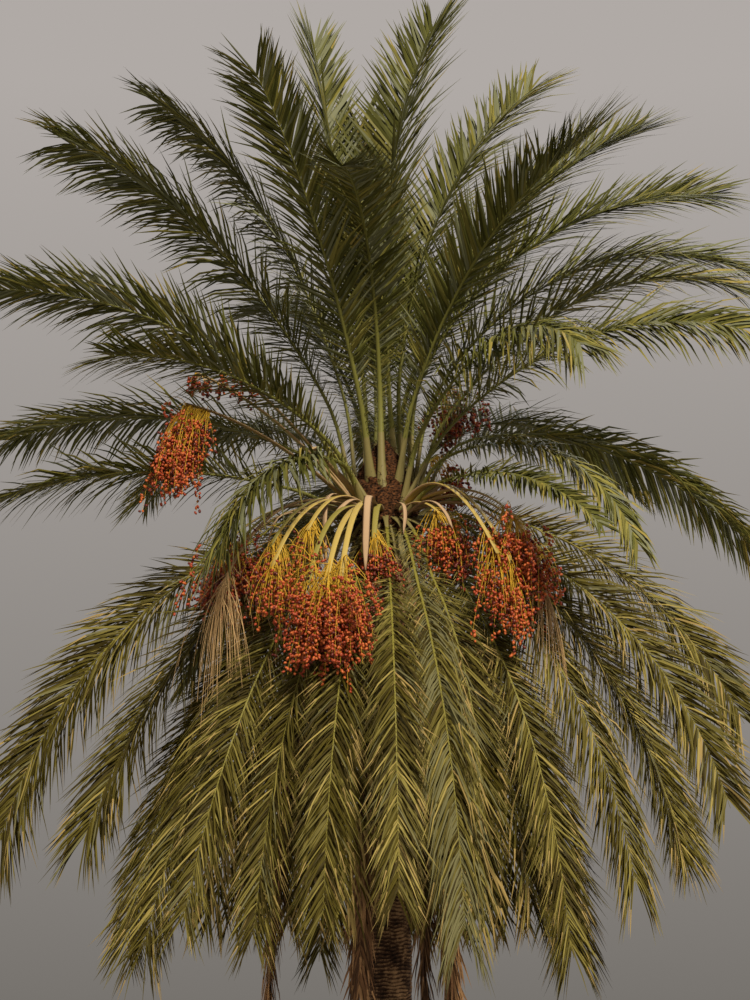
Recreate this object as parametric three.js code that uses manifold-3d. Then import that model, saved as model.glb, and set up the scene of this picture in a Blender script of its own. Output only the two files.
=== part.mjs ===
// Date palm: one ringed trunk, the fibrous heart of the crown on top of it, and the
// fronds that spring from that heart, each a thin blade of the frond's own outline.
// Millimetres, +Z up, the origin at the centre of the flat cut at ground level.
import * as THREE from "three";
import { mergeVertices } from "three/addons/utils/BufferGeometryUtils.js";
import Module from "manifold-3d";

const wasm = await Module();
wasm.setup();

// Driving dimensions of the trunk
const trunkTop = 6450;
const trunkRadius = 226;
const rootFlare = 84;
const rootFlareHeight = 330;
const collarSwell = 34;
const collarHeight = 700;
const trunkSides = 22;
const trunkRings = 14;
const ringCrowding = 1.35;

// The stem leans a little toward -X, reaching this far off the foot at crown height
const crownHeight = 7200;
const crownLean = -45;
const leanPower = 1.6;

// Driving dimensions of the crown heart
const heartTop = 7700;
const heartWidest = 6950;
const heartRadius = 345;
const budFall = 1.7;
const budRoundness = 0.8;
const heartSides = 18;
const heartRings = 9;

// Where the petioles start inside the heart: old fronds low and wide, young ones high and close
const oldRootRadius = 240;
const youngRootRadius = 125;
const oldRootHeight = 7000;
const youngRootRise = 450;
const oldestYouth = -0.3;
const rootStagger = 55;
const staggeredLift = 30;

// Driving dimensions of a frond
const bladeHalfWidth = 300;
const deadHalfWidth = 120;
const petioleHalfWidth = 46;
const petioleTaper = 0.6;
const petioleShare = 0.14;
const fullWidthFrom = 0.36;
const fullWidthTo = 0.72;
const tipRoundness = 0.8;
const ribHalfDepth = 17;
const ribCrestShare = 0.7;
const wingAngle = 26;
const bladeRings = 15;
const substeps = 6;
const seatGap = 0.3;
const neighbourShare = 0.48;
const trunkClearance = 25;

const greenPaint = { color: "#5d6130", roughness: 0.75, metalness: 0 };
const brownPaint = { color: "#8f6a45", roughness: 0.9, metalness: 0 };
const barkPaint = { color: "#4a3726", roughness: 0.95, metalness: 0 };
const fibrePaint = { color: "#54351f", roughness: 0.95, metalness: 0 };

// The far side of the skirt alternates two kinds of frond
const farSkirtCount = 6;
const farSkirtFrom = 10;
const farSkirtTo = 168;
const farSkirtShapes = [
  [-10, 70, 0.65, 4700],
  [-28, 56, 0.65, 4900],
];

// The inner skirt: old shaded fronds that hang from a collar under the heart. They are
// too many for a piece each, so each half of the collar carries six as one mass.
const skirtHalves = 2;
const skirtPerHalf = 6;
const skirtFrom = 12;
const skirtRings = 10;
const skirtHalfWidth = 230;
const collarBottom = 6375;
const collarTop = 6435;
const collarOuterRadius = 335;
const skirtRootRadius = 292;
const skirtRootHeight = 6405;
const skirtShapes = [
  [-30, 55, 0.5, 3700],
  [-42, 44, 0.5, 3500],
];

const degrees = Math.PI / 180;

// Every named frond is one row: compass azimuth (0 is +X, 90 is +Y), lift of its base above
// level, droop from base to tip, bend (under 1 droops early, over 1 droops late), length.
const spearFronds = [
  [50, 94, 47, 2.2, 4900],
  [135, 83, 8, 1.0, 4700],
  [106, 84, 9, 1.0, 3850],
  [262, 90, 116, 1.1, 4150],
];

const upperFronds = [
  [180, 65, 45, 1.5, 4700],
  [158, 73, 45, 2.0, 4850],
  [243, 66, 33, 1.5, 4300],
  [34, 89, 55, 1.3, 4750],
  [305, 68, 62, 1.1, 4300],
  [22, 80, 61, 1.2, 4850],
  [5, 84, 90, 1.0, 4700],
  [356, 71, 104, 1.3, 4550],
  [70, 66, 58, 1.2, 4600],
  [112, 62, 64, 1.2, 4600],
  [90, 76, 54, 1.2, 4500],
];

const archingFronds = [
  [160, 40, 58, 0.9, 4200],
  [200, 15, 46, 1.3, 3900],
  [190, 52, 60, 1.15, 4300],
  [218, 45, 62, 1.0, 3350],
  [343, 55, 90, 1.8, 4150],
  [308, 50, 105, 1.8, 3300],
  [332, 49, 76, 1.2, 4150],
  [320, 36, 110, 0.95, 3450],
  [18, 64, 113, 0.5, 4500],
  [311, 20, 68, 1.0, 3050],
  [236, 38, 105, 0.7, 3000],
  [52, 45, 82, 1.1, 4400],
  [90, 48, 78, 1.0, 4500],
  [128, 44, 84, 1.1, 4400],
  [105, 30, 72, 0.95, 4300],
  [72, 18, 70, 0.9, 4300],
  [122, 12, 66, 0.9, 4100],
];

const hangingFronds = [
  [357, 3, 73, 0.85, 4200],
  [345, -2, 76, 0.75, 4600],
  [337, -15, 68, 0.75, 4750],
  [328, -14, 70, 0.6, 4700],
  [318, -30, 58, 0.6, 5000],
  [302, -25, 65, 0.6, 3600],
  [288, -30, 56, 0.6, 4900],
  [273, -20, 65, 0.6, 4650],
  [257, -25, 62, 0.6, 4850],
  [242, -28, 56, 0.6, 4900],
  [225, -28, 50, 0.5, 4850],
  [213, -27, 52, 0.5, 5000],
  [200, -20, 54, 0.7, 4450],
  [182, -1, 80, 0.78, 5150],
];

for (let i = 0; i < farSkirtCount; i += 1) {
  const azimuth = farSkirtFrom + ((farSkirtTo - farSkirtFrom) * i) / (farSkirtCount - 1);
  hangingFronds.push([azimuth, ...farSkirtShapes[i % farSkirtShapes.length]]);
}

const deadFronds = [
  [260, -49, 39, 0.35, 4700],
  [228, -42, 46, 0.4, 5050],
  [287, -50, 38, 0.35, 4750],
  [297, -46, 42, 0.35, 4850],
];

const skirtStep = 360 / (skirtHalves * skirtPerHalf);
const skirtFronds = [];
for (let i = 0; i < skirtHalves * skirtPerHalf; i += 1) {
  skirtFronds.push([skirtFrom + skirtStep * i, ...skirtShapes[i % skirtShapes.length]]);
}

function leanAt(z) {
  return crownLean * Math.pow(Math.max(z, 0) / crownHeight, leanPower);
}

function trunkRadiusAt(z) {
  const flare = rootFlare * Math.exp(-z / rootFlareHeight);
  const collar = THREE.MathUtils.smoothstep(z, trunkTop - collarHeight, trunkTop);
  return trunkRadius + flare + collarSwell * collar;
}

// Plump below, drawn in to the bud above, with its foot as wide as the trunk's collar
function heartRadiusAt(z) {
  const foot = trunkRadiusAt(trunkTop);
  if (z < heartWidest) {
    const rise = (z - trunkTop) / (heartWidest - trunkTop);
    return foot + (heartRadius - foot) * Math.sin((rise * Math.PI) / 2);
  }
  const fall = (z - heartWidest) / (heartTop - heartWidest);
  return heartRadius * Math.pow(Math.max(1 - Math.pow(fall, budFall), 0), budRoundness);
}

function bareMesh(geometry) {
  geometry.deleteAttribute("normal");
  geometry.deleteAttribute("uv");
  return mergeVertices(geometry, 1e-4);
}

// The same shape serves as the trunk and, a little larger, as the cutter for the collar
function buildTrunk(grow) {
  const geometry = new THREE.CylinderGeometry(1, 1, 1, trunkSides, trunkRings);
  geometry.rotateX(Math.PI / 2);
  const position = geometry.attributes.position;
  for (let i = 0; i < position.count; i += 1) {
    const level = position.getZ(i) + 0.5;
    // rings crowd toward the ground, where the flare bends fastest
    const z = trunkTop * Math.pow(level, ringCrowding);
    const radius = trunkRadiusAt(z) + grow;
    position.setXYZ(i, position.getX(i) * radius + leanAt(z), position.getY(i) * radius, z);
  }
  return bareMesh(geometry);
}

// The same shape serves as the heart and, a little larger, as the cutter for the petioles
function buildHeart(grow) {
  const foot = trunkTop + seatGap;
  const profile = [new THREE.Vector2(0, foot - grow)];
  for (let k = 0; k < heartRings; k += 1) {
    const share = k / heartRings;
    const z = foot + (heartTop - foot) * Math.sin((share * Math.PI) / 2);
    profile.push(new THREE.Vector2(heartRadiusAt(z) + grow, k === 0 ? z - grow : z));
  }
  profile.push(new THREE.Vector2(0, heartTop + grow));
  const geometry = new THREE.LatheGeometry(profile, heartSides);
  geometry.rotateX(Math.PI / 2);
  const position = geometry.attributes.position;
  for (let i = 0; i < position.count; i += 1) {
    position.setX(i, position.getX(i) + leanAt(position.getZ(i)));
  }
  return bareMesh(geometry);
}

// Old petioles start low and wide in the heart, young ones high and close to its axis
function heartRoot(lift, order) {
  const youth = THREE.MathUtils.clamp(lift / 90, oldestYouth, 1);
  const stagger = lift < staggeredLift ? rootStagger * (order % 2 === 0 ? 1 : -1) : 0;
  return {
    radius: THREE.MathUtils.lerp(oldRootRadius, youngRootRadius, Math.max(youth, 0)),
    height: oldRootHeight + youngRootRise * youth + stagger,
  };
}

// The midrib: a line that leaves its root at its lift and droops by the bend's power
function frondSpine([azimuth, lift, droop, bend, length], root, rings) {
  const heading = azimuth * degrees;
  const steps = rings * substeps;
  let reach = root.radius;
  let height = root.height;
  const points = [];
  for (let k = 0; k <= steps; k += 1) {
    if (k % substeps === 0) {
      const x = leanAt(crownHeight) + reach * Math.cos(heading);
      points.push(new THREE.Vector3(x, reach * Math.sin(heading), height));
    }
    const slope = (lift - droop * Math.pow((k + 0.5) / steps, bend)) * degrees;
    reach += (Math.cos(slope) * length) / steps;
    height += (Math.sin(slope) * length) / steps;
  }
  return points;
}

// Half the width of the outline: a tapering petiole, then the leaflets' reach, then the tip
function outlineHalfWidth(share, full) {
  const petioleEnd = petioleHalfWidth * petioleTaper;
  if (share < petioleShare) {
    return THREE.MathUtils.lerp(petioleHalfWidth, petioleEnd, share / petioleShare);
  }
  const opening = THREE.MathUtils.smoothstep(share, petioleShare, fullWidthFrom);
  const closing = THREE.MathUtils.clamp((share - fullWidthTo) / (1 - fullWidthTo), 0, 1);
  const blade = full * Math.pow(1 - closing * closing, tipRoundness);
  return THREE.MathUtils.lerp(petioleEnd, blade, opening);
}

function distanceToSpine(point, spine) {
  const nearest = new THREE.Vector3();
  const segment = new THREE.Line3();
  let least = Infinity;
  for (let k = 0; k + 1 < spine.length; k += 1) {
    segment.set(spine[k], spine[k + 1]).closestPointToPoint(point, true, nearest);
    least = Math.min(least, nearest.distanceTo(point));
  }
  return least;
}

// Room on each side of a ring before a neighbouring frond or the trunk is met
function roomAtRing(spine, ring, others) {
  const looks = substeps - 1;
  let room = Infinity;
  for (let side = -1; side <= 1; side += 2) {
    const next = spine[ring + side];
    if (!next) continue;
    for (let k = 0; k <= looks; k += 1) {
      const point = spine[ring].clone().lerp(next, k / looks);
      for (const other of others) {
        room = Math.min(room, neighbourShare * distanceToSpine(point, other));
      }
      if (point.z < trunkTop) {
        const fromAxis = Math.hypot(point.x - leanAt(point.z), point.y);
        room = Math.min(room, fromAxis - trunkRadiusAt(point.z) - trunkClearance);
      }
    }
  }
  return room;
}

// A cone with four sides is bent along the midrib: rib crest, wing edge, rib keel, wing edge
function buildBlade(spine, azimuth, halfWidths) {
  const corners = 4;
  const rings = halfWidths.length;
  const geometry = new THREE.ConeGeometry(1, 1, corners, rings);
  const position = geometry.attributes.position;
  const heading = azimuth * degrees;
  const side = new THREE.Vector3(-Math.sin(heading), Math.cos(heading), 0);
  for (let i = 0; i < position.count; i += 1) {
    const x = position.getX(i);
    const z = position.getZ(i);
    const ring = Math.round((position.getY(i) + 0.5) * rings);
    const corner = (Math.round(Math.atan2(x, z) / (Math.PI / 2)) + corners) % corners;
    const onRim = Math.hypot(x, z) > 1e-6 && ring < rings;
    const before = spine[Math.max(ring - 1, 0)];
    const after = spine[Math.min(ring + 1, rings)];
    const along = after.clone().sub(before).normalize();
    const up = along.clone().cross(side).normalize();
    const point = spine[ring].clone();
    if (onRim) {
      const width = halfWidths[ring];
      const depth = Math.min(ribHalfDepth, width * ribCrestShare);
      if (corner % 2 === 0) {
        point.addScaledVector(up, corner === 0 ? depth * ribCrestShare : -depth);
      } else {
        point.addScaledVector(side, (corner === 1 ? -1 : 1) * width * Math.cos(wingAngle * degrees));
        point.addScaledVector(up, width * Math.sin(wingAngle * degrees));
      }
    }
    position.setXYZ(i, point.x, point.y, point.z);
  }
  return bareMesh(geometry);
}

function toSolid(geometry) {
  return new wasm.Manifold(
    new wasm.Mesh({
      numProp: 3,
      vertProperties: new Float32Array(geometry.attributes.position.array),
      triVerts: new Uint32Array(geometry.index.array),
    }),
  );
}

function fromSolid(solid) {
  const mesh = solid.getMesh();
  const geometry = new THREE.BufferGeometry();
  geometry.setAttribute("position", new THREE.BufferAttribute(mesh.vertProperties, 3));
  geometry.setIndex(new THREE.BufferAttribute(mesh.triVerts, 1));
  return geometry;
}

function addPiece(group, name, geometry, paint) {
  geometry.computeVertexNormals();
  const mesh = new THREE.Mesh(geometry, new THREE.MeshStandardMaterial(paint));
  mesh.name = name;
  group.add(mesh);
}

// The ring round the trunk's collar that the inner skirt's fronds grow from
function buildRing() {
  const inner = trunkRadius;
  const profile = [
    new THREE.Vector2(inner, collarBottom),
    new THREE.Vector2(collarOuterRadius, collarBottom),
    new THREE.Vector2(collarOuterRadius, collarTop),
    new THREE.Vector2(inner, collarTop),
    new THREE.Vector2(inner, collarBottom),
  ];
  const geometry = new THREE.LatheGeometry(profile, trunkSides);
  geometry.rotateX(Math.PI / 2);
  geometry.translate(leanAt(collarTop), 0, 0);
  return bareMesh(geometry);
}

// A block that covers one half of the ring, less half a gap along the cut
function buildHalfBlock(half) {
  const size = 2 * collarOuterRadius;
  const geometry = new THREE.BoxGeometry(2 * size, size, size);
  geometry.translate(0, (size + seatGap) / 2, collarTop);
  geometry.rotateZ((skirtFrom - skirtStep / 2 + (half * 360) / skirtHalves) * degrees);
  geometry.translate(leanAt(collarTop), 0, 0);
  return bareMesh(geometry);
}

const palm = new THREE.Group();
addPiece(palm, "trunk", buildTrunk(0), barkPaint);
addPiece(palm, "crown_heart", buildHeart(0), fibrePaint);

const tiers = [
  { name: "spear_frond", rows: spearFronds, full: bladeHalfWidth, paint: greenPaint },
  { name: "upper_frond", rows: upperFronds, full: bladeHalfWidth, paint: greenPaint },
  { name: "arching_frond", rows: archingFronds, full: bladeHalfWidth, paint: greenPaint },
  { name: "hanging_frond", rows: hangingFronds, full: bladeHalfWidth, paint: greenPaint },
  { name: "dead_frond", rows: deadFronds, full: deadHalfWidth, paint: brownPaint },
];

const fronds = tiers.flatMap((tier) =>
  tier.rows.map((row, order) => ({
    name: `${tier.name}_${String(order + 1).padStart(2, "0")}`,
    azimuth: row[0],
    full: tier.full,
    paint: tier.paint,
    rings: bladeRings,
    spine: frondSpine(row, heartRoot(row[1], order), bladeRings),
  })),
);

const skirtRoot = { radius: skirtRootRadius, height: skirtRootHeight };
const skirt = skirtFronds.map((row) => ({
  azimuth: row[0],
  full: skirtHalfWidth,
  rings: skirtRings,
  spine: frondSpine(row, skirtRoot, skirtRings),
}));

// A blade is as wide as its outline asks, and narrower where a neighbour is close
function bladeSolid(frond) {
  const others = [...fronds, ...skirt].filter((other) => other !== frond);
  const spines = others.map((other) => other.spine);
  const halfWidths = [];
  for (let ring = 0; ring < frond.rings; ring += 1) {
    const wanted = outlineHalfWidth(ring / frond.rings, frond.full);
    halfWidths.push(Math.min(wanted, roomAtRing(frond.spine, ring, spines)));
  }
  return toSolid(buildBlade(frond.spine, frond.azimuth, halfWidths));
}

const heartCutter = toSolid(buildHeart(seatGap));
for (const frond of fronds) {
  addPiece(palm, frond.name, fromSolid(bladeSolid(frond).subtract(heartCutter)), frond.paint);
}

const ring = toSolid(buildRing());
const collarCutter = toSolid(buildTrunk(seatGap));
for (let half = 0; half < skirtHalves; half += 1) {
  let mass = ring.intersect(toSolid(buildHalfBlock(half)));
  const first = half * skirtPerHalf;
  for (const frond of skirt.slice(first, first + skirtPerHalf)) {
    mass = mass.add(bladeSolid(frond));
  }
  const name = `inner_skirt_${String(half + 1).padStart(2, "0")}`;
  addPiece(palm, name, fromSolid(mass.subtract(collarCutter)), greenPaint);
}

export default palm;
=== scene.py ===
# Date palm: the looks of the whole tree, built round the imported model.
# Metres, +Z up, the origin at the centre of the flat cut at ground level.
import math

import bmesh
import bpy
import numpy as np
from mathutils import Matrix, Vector, noise


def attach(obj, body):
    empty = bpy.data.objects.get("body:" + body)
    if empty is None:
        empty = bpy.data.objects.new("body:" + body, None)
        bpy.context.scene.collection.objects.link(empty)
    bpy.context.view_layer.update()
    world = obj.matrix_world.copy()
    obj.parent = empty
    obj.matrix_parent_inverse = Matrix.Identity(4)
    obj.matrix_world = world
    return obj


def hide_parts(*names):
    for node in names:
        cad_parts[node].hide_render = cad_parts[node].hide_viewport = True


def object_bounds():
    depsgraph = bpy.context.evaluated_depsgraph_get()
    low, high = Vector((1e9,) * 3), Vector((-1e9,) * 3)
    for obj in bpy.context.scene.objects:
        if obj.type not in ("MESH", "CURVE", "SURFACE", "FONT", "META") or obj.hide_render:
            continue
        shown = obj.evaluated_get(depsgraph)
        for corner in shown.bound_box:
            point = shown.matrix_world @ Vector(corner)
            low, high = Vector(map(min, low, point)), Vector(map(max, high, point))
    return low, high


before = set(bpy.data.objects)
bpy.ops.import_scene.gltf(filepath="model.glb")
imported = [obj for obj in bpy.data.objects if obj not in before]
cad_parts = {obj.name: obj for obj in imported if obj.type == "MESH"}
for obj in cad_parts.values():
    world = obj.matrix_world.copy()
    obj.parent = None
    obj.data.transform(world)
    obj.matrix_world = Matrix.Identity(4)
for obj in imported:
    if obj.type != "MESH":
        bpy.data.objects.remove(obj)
cad_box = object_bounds()

# Camera: a long lens thirty metres away at eye height, tilted up so that the crown fills
# the picture and the ground is below its lower edge.
CAMERA_PLACE = (-0.12, -30.2, 1.6)
CAMERA_TILT = 10.3675
CAMERA_LENS = 120
CAMERA_FILM = 36

camera_data = bpy.data.cameras.new("camera")
camera_data.sensor_fit = "VERTICAL"
camera_data.sensor_height = CAMERA_FILM
camera_data.lens = CAMERA_LENS
camera = bpy.data.objects.new("camera", camera_data)
camera.location = CAMERA_PLACE
camera.rotation_euler = (math.radians(90 + CAMERA_TILT), 0, 0)
bpy.context.scene.collection.objects.link(camera)
bpy.context.scene.camera = camera


# Trunk: one woody stem, its bark ringed with the scars of shed fronds. Each scar is a low
# ledge with a crack under it. The crack is darkened with painted shade, and the ledges'
# upper edges are made pale with a painted highlight.
RING_PITCH = 0.034
RING_RELIEF = 0.011
RING_STEPS = 4
BARK_SIDES = 50
# Three noises round the trunk and up it, each with its scales: the rings' slow wandering,
# their ragged edges and the crumbled cork. The first two also say by how many rings.
WAVER_SCALES = (1.7, 2.3)
WAVER_RINGS = 0.85
RAGGED_SCALES = (7, 9)
RAGGED_RINGS = 0.45
CRUMBLE_SCALES = (24, 14)
CRUMBLE_RELIEF = 0.006
WAVER_RELIEF = 0.012
CRUMBLE_WEAR = 0.45
# How a ledge swells, how sharply it falls back, and the part of it that is the old surface
LEDGE_SWELL = 0.7
LEDGE_FALL = 5
LEDGE_MIDDLE = 0.6
# Sizes of the cork's fibres, drawn coarser than real ones so that they show, and of its
# paler and darker patches
CORK_FIBRE = 0.011
CORK_PATCH = 0.22
# How far up its ledge each point of the bark is, with some wear, and its colour there:
# painted shade in the crack, the body, and a painted highlight on the pale upper edge
BARK_TINTS = [(0.45, "#140d08"), (0.72, "#483224"), (1, "#a17f5c")]
# Points of a rolled-up grid that are nearer than this are one, and points of a node are on
# one level when their heights differ by less than this
SEAM_GAP = 1e-5
LEVEL_GAP = 0.002


def linear(hex_colour):
    """An sRGB hex colour as linear red, green, blue and full alpha."""
    parts = [int(hex_colour[i : i + 2], 16) / 255 for i in (1, 3, 5)]
    return [p / 12.92 if p <= 0.04045 else ((p + 0.055) / 1.055) ** 2.4 for p in parts] + [1]


def add_node(tree, kind, inputs=None, **settings):
    """One shader node; each input is given a value, or linked where it is given a socket."""
    node = tree.nodes.new(kind)
    for name, value in settings.items():
        setattr(node, name, value)
    for name, value in (inputs or {}).items():
        if isinstance(value, bpy.types.NodeSocket):
            tree.links.new(value, node.inputs[name])
        else:
            node.inputs[name].default_value = value
    return node


def new_material(name):
    """An empty material and its node tree."""
    material = bpy.data.materials.new(name)
    material.use_nodes = True
    material.node_tree.nodes.clear()
    return material, material.node_tree


def finish_material(tree, colour, roughness, gloss, relief, depth, strength):
    """Gives a material its shader; colour, roughness and relief are values or sockets."""
    bump = add_node(tree, "ShaderNodeBump", {"Height": relief, "Distance": depth, "Strength": strength})
    shader = add_node(
        tree,
        "ShaderNodeBsdfPrincipled",
        {
            "Base Color": colour,
            "Roughness": roughness,
            "Specular IOR Level": gloss,
            "Normal": bump.outputs["Normal"],
        },
    )
    add_node(tree, "ShaderNodeOutputMaterial", {"Surface": shader.outputs["BSDF"]})


def put_in_place(mesh_or_bmesh, name, materials, nodes=(), smooth=False):
    """Makes the finished piece: an object at the origin that rides on the plant's one body."""
    mesh = mesh_or_bmesh
    if isinstance(mesh_or_bmesh, bmesh.types.BMesh):
        mesh = bpy.data.meshes.new(name)
        mesh_or_bmesh.to_mesh(mesh)
        mesh_or_bmesh.free()
    if smooth:
        mesh.shade_smooth()
    else:
        mesh.shade_flat()
    for material in materials:
        mesh.materials.append(material)
    piece = bpy.data.objects.new(name, mesh)
    bpy.context.scene.collection.objects.link(piece)
    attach(piece, "root")
    if nodes:
        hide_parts(*nodes)
    return piece


def levels_of(node):
    """Height, middle and radius of each ring of points of an upright lathed node."""
    points = np.array([v.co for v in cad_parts[node].data.vertices])
    heights = np.unique(points[:, 2].round(3))
    rows = []
    for height in heights:
        ring = points[abs(points[:, 2] - height) < LEVEL_GAP]
        low, high = ring.min(axis=0), ring.max(axis=0)
        rows.append((height, (low[0] + high[0]) / 2, (high[0] - low[0]) / 2))
    return np.array(rows)


def noise_round(turn, height, scales):
    """Noise that joins up round an upright piece; scales are those round it and up it."""
    around, upward = scales
    return noise.noise((math.cos(turn) * around, math.sin(turn) * around, height * upward))


def close_roll(bm):
    """Sews a rolled-up grid along its seam, closes both ends and turns it right side out."""
    bmesh.ops.remove_doubles(bm, verts=bm.verts, dist=SEAM_GAP)
    bmesh.ops.holes_fill(bm, edges=[e for e in bm.edges if e.is_boundary], sides=0)
    bmesh.ops.recalc_face_normals(bm, faces=bm.faces)


trunk_levels = levels_of("trunk")
trunk_top = trunk_levels[-1, 0]
bark = bmesh.new()
ring_rows = int(trunk_top / RING_PITCH * RING_STEPS)
bmesh.ops.create_grid(bark, x_segments=BARK_SIDES, y_segments=ring_rows, size=0.5)
painted_light_and_wear = bark.verts.layers.float.new("painted_light_and_wear")
for v in bark.verts:
    # the grid is a metre square, so its sides are one turn and the whole height
    turn = (v.co.x + 0.5) * 2 * math.pi
    height = (v.co.y + 0.5) * trunk_top
    middle = np.interp(height, trunk_levels[:, 0], trunk_levels[:, 1])
    radius = np.interp(height, trunk_levels[:, 0], trunk_levels[:, 2])
    waver = noise_round(turn, height, WAVER_SCALES)
    ragged = noise_round(turn, height, RAGGED_SCALES)
    crumble = noise_round(turn, height, CRUMBLE_SCALES)
    phase = height / RING_PITCH + turn / (2 * math.pi) + WAVER_RINGS * waver + RAGGED_RINGS * ragged
    rise = phase - math.floor(phase)
    # a ledge swells slowly and then falls back sharply into the crack above it
    ledge = rise**LEDGE_SWELL * min(1, (1 - rise) * LEDGE_FALL)
    radius += RING_RELIEF * (ledge - LEDGE_MIDDLE) + CRUMBLE_RELIEF * crumble + WAVER_RELIEF * waver
    v.co = (middle + radius * math.cos(turn), radius * math.sin(turn), height)
    # high on a ledge's upper edge for a painted highlight, low in the crack for painted shade, and
    # changed by the crumbled cork's wear
    v[painted_light_and_wear] = ledge + CRUMBLE_WEAR * crumble
close_roll(bark)

# Palm bark is corky and matt. The cracks are painted nearly black as shade, and what stands
# proud has a painted highlight the colour of dry cork, broken by its fibres and patches.
bark_material, tree = new_material("corky_ringed_palm_bark")
place = add_node(tree, "ShaderNodeTexCoord").outputs["Object"]
fibres = add_node(tree, "ShaderNodeTexNoise", {"Vector": place, "Scale": 1 / CORK_FIBRE, "Detail": 6})
patches = add_node(tree, "ShaderNodeTexNoise", {"Vector": place, "Scale": 1 / CORK_PATCH, "Detail": 3})
# The bark's painted light and wear, times its fibres and plus its patches, picks the colour: painted
# shade in the cracks and a painted highlight on the ledges.
lit_ledge_and_wear = add_node(tree, "ShaderNodeAttribute", attribute_name="painted_light_and_wear")
lit_and_worn = add_node(
    tree,
    "ShaderNodeMath",
    {0: lit_ledge_and_wear.outputs["Fac"], 1: fibres.outputs["Fac"]},
    operation="MULTIPLY",
)
lit_and_worn = add_node(
    tree, "ShaderNodeMath", {0: lit_and_worn.outputs[0], 1: patches.outputs["Fac"]}, operation="ADD"
)
tint = add_node(tree, "ShaderNodeValToRGB", {"Fac": lit_and_worn.outputs[0]})
tint.color_ramp.elements.new(BARK_TINTS[1][0])
for stop, (wear, colour) in zip(tint.color_ramp.elements, BARK_TINTS):
    stop.position = wear
    stop.color = linear(colour)
finish_material(
    tree,
    colour=tint.outputs["Color"],
    roughness=0.9,
    gloss=0.2,
    relief=fibres.outputs["Fac"],
    depth=0.006,
    strength=0.8,
)
put_in_place(bark, "trunk_bark", [bark_material], ["trunk"], smooth=True)


# Fronds: every one is a rib, flat above and rounded below, that carries two rows of
# stiff leaflets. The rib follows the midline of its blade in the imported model.

# The middle of the crown's heart, where all their lines meet
HEART_POINT = Vector((-0.045, 0, 7.1))
LINE_POINTS = 61
# Points of a node's loose triangles that are nearer than this are one
BLADE_GAP = 1e-4
# A rib's section, in shares of its half sizes, from one edge over the top to the keel
RIB_TOP = [(-1, 0.15), (-0.62, 0.6), (0, 0.42), (0.62, 0.6), (1, 0.15)]
RIB_KEEL = [(0.66, -0.66), (0, -1), (-0.66, -0.66)]
RIB_SECTION = RIB_TOP + RIB_KEEL
# Half width and half depth of a rib from its foot in the heart to its tip
RIB_SHARES = [0, 0.03, 0.07, 0.14, 0.28, 0.5, 0.75, 1]
RIB_HALF_WIDTHS = [0.075, 0.052, 0.036, 0.027, 0.021, 0.015, 0.009, 0.003]
RIB_HALF_DEPTHS = [0.030, 0.028, 0.024, 0.019, 0.015, 0.011, 0.007, 0.0025]


def unit(vectors):
    """The same vectors, each one metre long; the least length keeps out a division by nought."""
    return vectors / np.maximum(np.linalg.norm(vectors, axis=-1, keepdims=True), 1e-9)


def mix(low, high, share):
    """What lies between two values, at a share of the way from the first."""
    return low + (high - low) * share


def smooth_through(rows, count):
    """Evenly spaced points of a smooth curve that passes through the given ones."""
    padded = np.vstack([2 * rows[0] - rows[1], rows, 2 * rows[-1] - rows[-2]])
    where = np.linspace(0, len(rows) - 1, count)
    start = np.minimum(where.astype(int), len(rows) - 2)
    t = (where - start)[:, None]
    a, b, c, d = (padded[start + k] for k in range(4))
    return b + 0.5 * t * (c - a + t * (2 * a - 5 * b + 4 * c - d + t * (3 * b - a - 3 * c + d)))


def blade_rings(bm, tip):
    """The rings of four points of a blade, from its tip toward the heart."""
    ring = [tip]
    seen = {tip}
    rings = []
    while True:
        ring = {e.other_vert(v) for v in ring for e in v.link_edges} - seen
        if len(ring) != 4:
            return rings
        seen |= ring
        rings.append(np.array([v.co for v in ring]))


def frond_line(bm, tip):
    """Midline of a blade from the heart to its tip, with its side and upper face there."""
    middles = [np.array(tip.co)]
    ups = []
    for ring in blade_rings(bm, tip):
        gaps = np.linalg.norm(ring[:, None] - ring[None], axis=2)
        wings = np.unravel_index(gaps.argmax(), gaps.shape)
        crest_and_keel = [k for k in range(4) if k not in wings]
        middles.append(ring[crest_and_keel].mean(axis=0))
        ups.append(ring[list(wings)].mean(axis=0) - middles[-1])
    middles = np.array(middles[::-1])
    ups = unit(np.array([ups[0]] + ups))[::-1]
    # the line starts one step further into the heart than the blade does
    foot = 3 * middles[0] - 3 * middles[1] + middles[2]
    points = smooth_through(np.vstack([foot, middles]), LINE_POINTS)
    along = unit(np.gradient(points, axis=0))
    up = smooth_through(np.vstack([ups[0], ups]), LINE_POINTS)
    side = unit(np.cross(along, up))
    length = np.linalg.norm(np.diff(points, axis=0), axis=1).sum()
    return {"points": points, "along": along, "side": side, "length": length}


def lines_of(node, sectors=1, width=360, first_azimuth=0):
    """The frond lines of a node, one for each sector of the compass that it fills."""
    bm = bmesh.new()
    bm.from_mesh(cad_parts[node].data)
    bmesh.ops.remove_doubles(bm, verts=bm.verts, dist=BLADE_GAP)
    lines = []
    for sector in range(sectors):
        verts = list(bm.verts)
        if sectors > 1:
            start = first_azimuth + sector * width
            verts = [
                v
                for v in verts
                if (math.degrees(math.atan2(v.co.y, v.co.x - HEART_POINT.x)) - start) % 360 < width
            ]
        tip = max(verts, key=lambda v: (v.co - HEART_POINT).length)
        lines.append(frond_line(bm, tip))
    bm.free()
    return lines


# A rib also twists to and fro by a little, in a wave of this many radians along it
TWIST_WAVE = 9.5


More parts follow.
